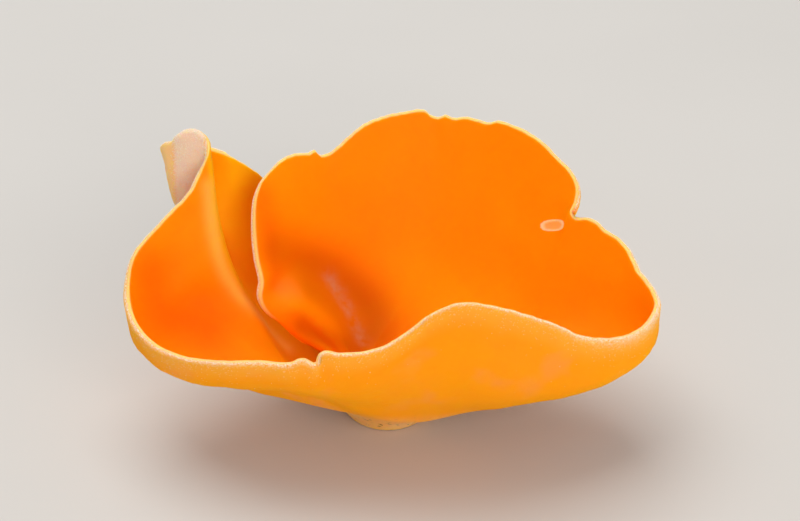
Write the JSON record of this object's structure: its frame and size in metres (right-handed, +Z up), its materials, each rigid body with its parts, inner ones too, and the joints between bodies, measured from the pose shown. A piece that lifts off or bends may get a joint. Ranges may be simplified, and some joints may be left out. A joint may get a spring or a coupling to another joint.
{
  "type": "orange peel fungus",
  "caption": "Thin, brittle orange cup fungus, an uneven bowl with a wavy margin, split down one side into a big and a small lobe, on a short flat foot.",
  "frame": {"origin": "middle of the flat spot under the foot, on the surface that the cup rests on", "axes": "+X to the right along the cup's long way, away from the small lobe; +Y to the back, towards the tall wall; +Z up out of the cup"},
  "size_m": [0.0809, 0.0497, 0.0414],
  "materials": {
    "flesh": "matte and waxy, deep orange inside, paler and frosted with fine granules outside"
  },
  "bodies": {
    "root": {"fruit_body": "flesh"}
  },
  "joints": []
}
